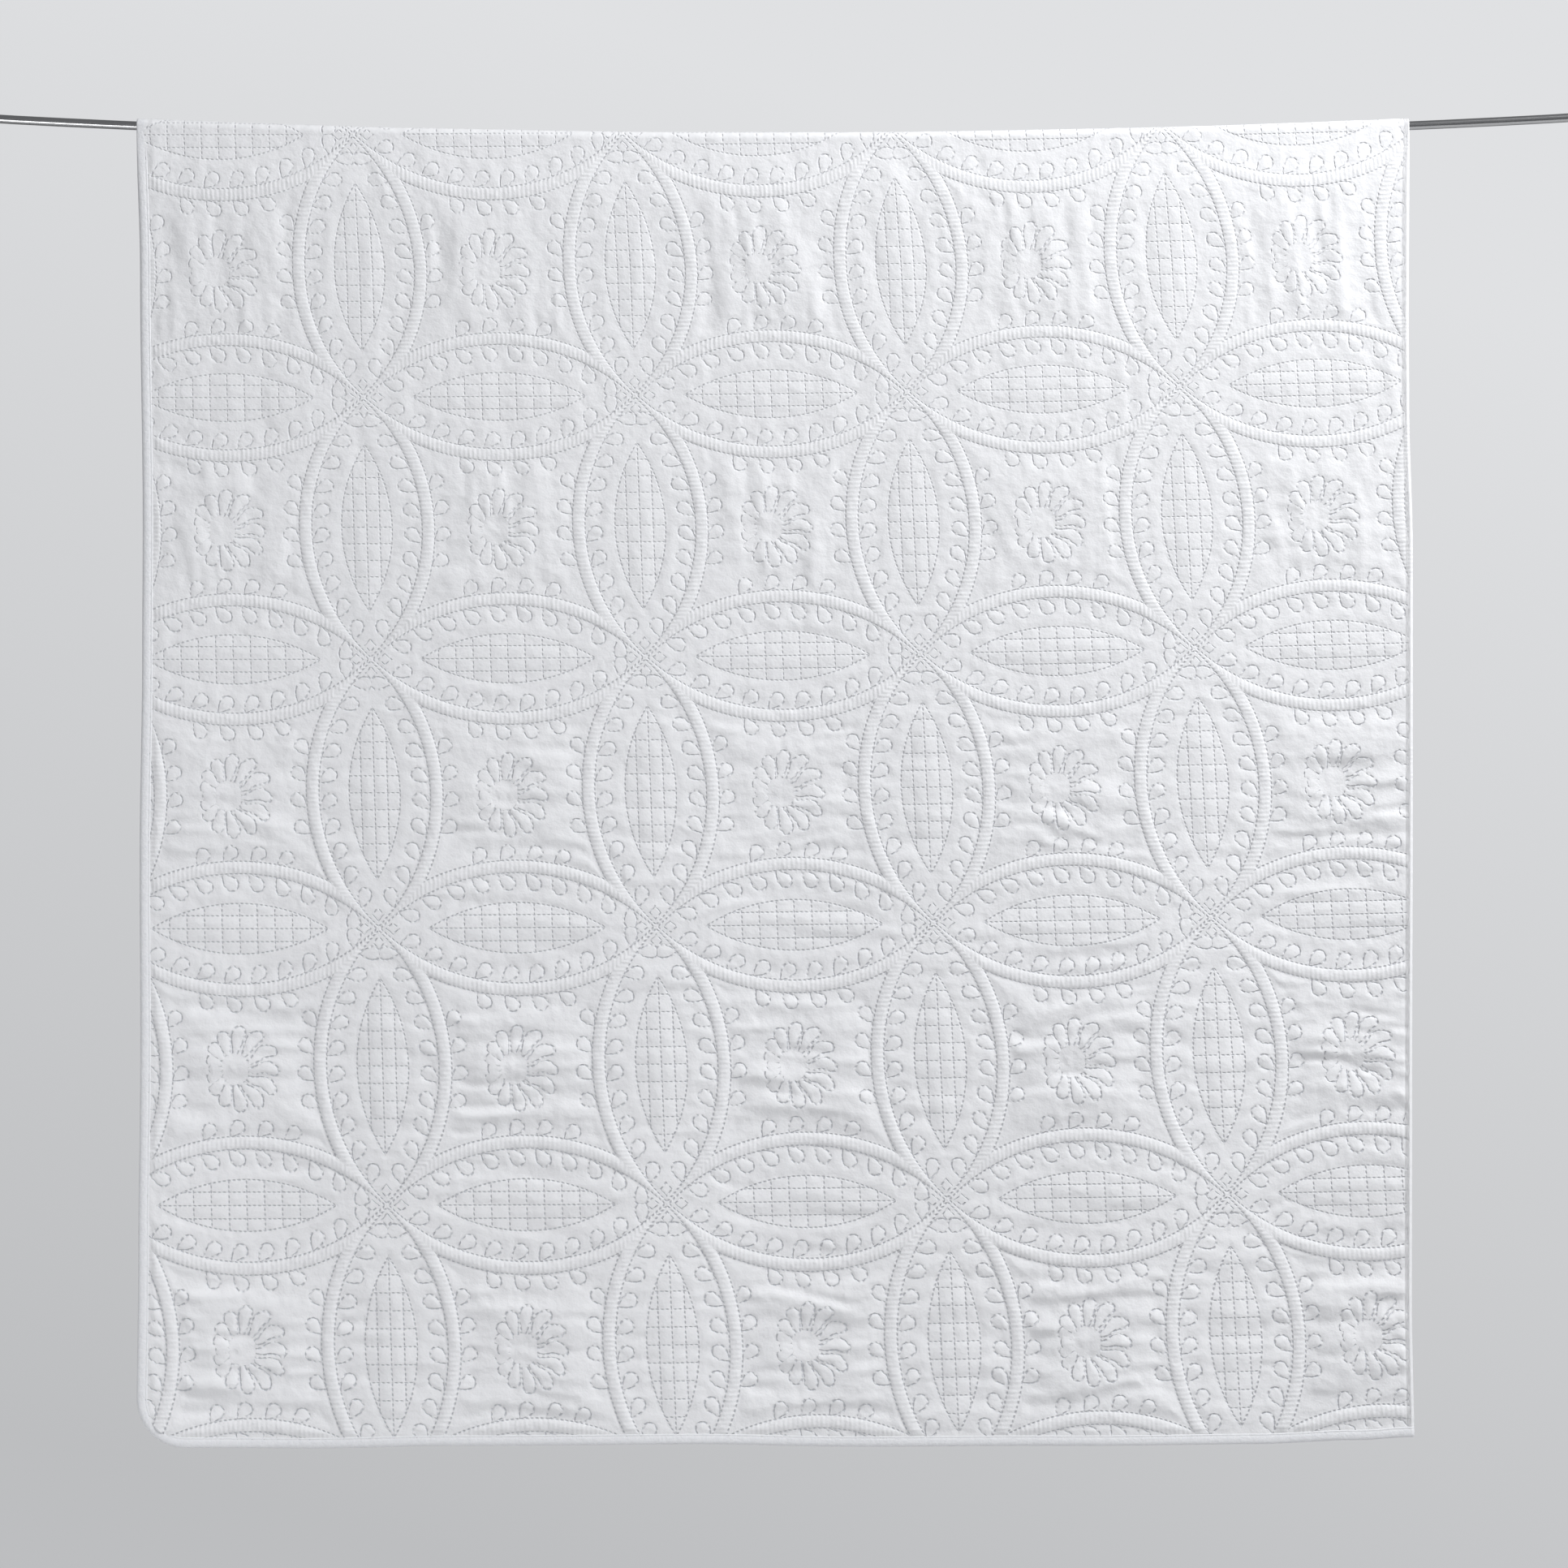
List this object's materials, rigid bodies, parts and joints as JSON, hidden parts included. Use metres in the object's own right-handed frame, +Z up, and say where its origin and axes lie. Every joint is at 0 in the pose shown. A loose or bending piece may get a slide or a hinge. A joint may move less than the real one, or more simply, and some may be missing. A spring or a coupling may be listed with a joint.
{
  "type": "quilt on a hanging rod",
  "caption": "White quilt with stitched overlapping rings, folded in half and draped over a thin polished rod.",
  "frame": {"origin": "centre of the rod's left end face, seen from the front", "axes": "+X along the rod to its right end, +Z up, -Y towards the front of the quilt"},
  "size_m": [1.5, 0.0333, 1.2245],
  "materials": {
    "quilt_cloth": "matte",
    "binding_cloth": "matte",
    "rod_steel": "polished"
  },
  "bodies": {
    "root": {"quilt": "quilt_cloth", "binding": "binding_cloth", "rod": "rod_steel"}
  },
  "joints": []
}
